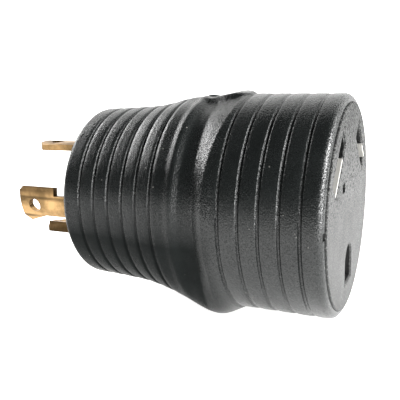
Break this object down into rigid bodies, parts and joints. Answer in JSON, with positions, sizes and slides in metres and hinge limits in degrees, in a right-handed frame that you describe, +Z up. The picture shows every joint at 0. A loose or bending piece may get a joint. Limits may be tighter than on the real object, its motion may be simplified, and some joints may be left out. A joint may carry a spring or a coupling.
{
  "type": "moulded power adapter",
  "caption": "One-piece round power adapter: a twist-lock plug with curved blades moulded to a receptacle with slanted slots and an arched ground hole, in a ribbed grip shell.",
  "frame": {"origin": "centre of the plug's seating face, on the adapter's axis", "axes": "+X along the axis from the plug to the receptacle, +Z up with the ground hole below the axis, -Y toward the near side"},
  "size_m": [0.0839, 0.051, 0.0526],
  "materials": {
    "shell": "satin, fine-grained soft PVC",
    "filler": "matte moulded PVC",
    "carrier": "satin moulded plastic",
    "face_plastic": "satin, fine-grained plastic",
    "housing_plastic": "matte moulded plastic",
    "blade_brass": "stamped brass, satin with darker edges",
    "contact_brass": "formed brass strip",
    "clip_steel": "plated spring steel",
    "copper": null,
    "insulation_black": "smooth wire jacket",
    "insulation_white": "smooth wire jacket",
    "insulation_green": "smooth wire jacket"
  },
  "bodies": {
    "root": {"grip_shell": "shell", "core_filler": "filler", "blade_carrier": "carrier", "hot_blade": "blade_brass", "spare_hot_blade": "blade_brass", "neutral_blade": "blade_brass", "ground_blade": "blade_brass", "receptacle_face": "face_plastic", "contact_housing": "housing_plastic", "hot_contact": "contact_brass", "neutral_contact": "contact_brass", "ground_contact": "contact_brass", "hot_contact_clip": "clip_steel", "neutral_contact_clip": "clip_steel", "ground_contact_clip": "clip_steel", "hot_conductor": "copper", "neutral_conductor": "copper", "ground_conductor": "copper", "hot_insulation": "insulation_black", "neutral_insulation": "insulation_white", "ground_insulation": "insulation_green"}
  },
  "joints": []
}
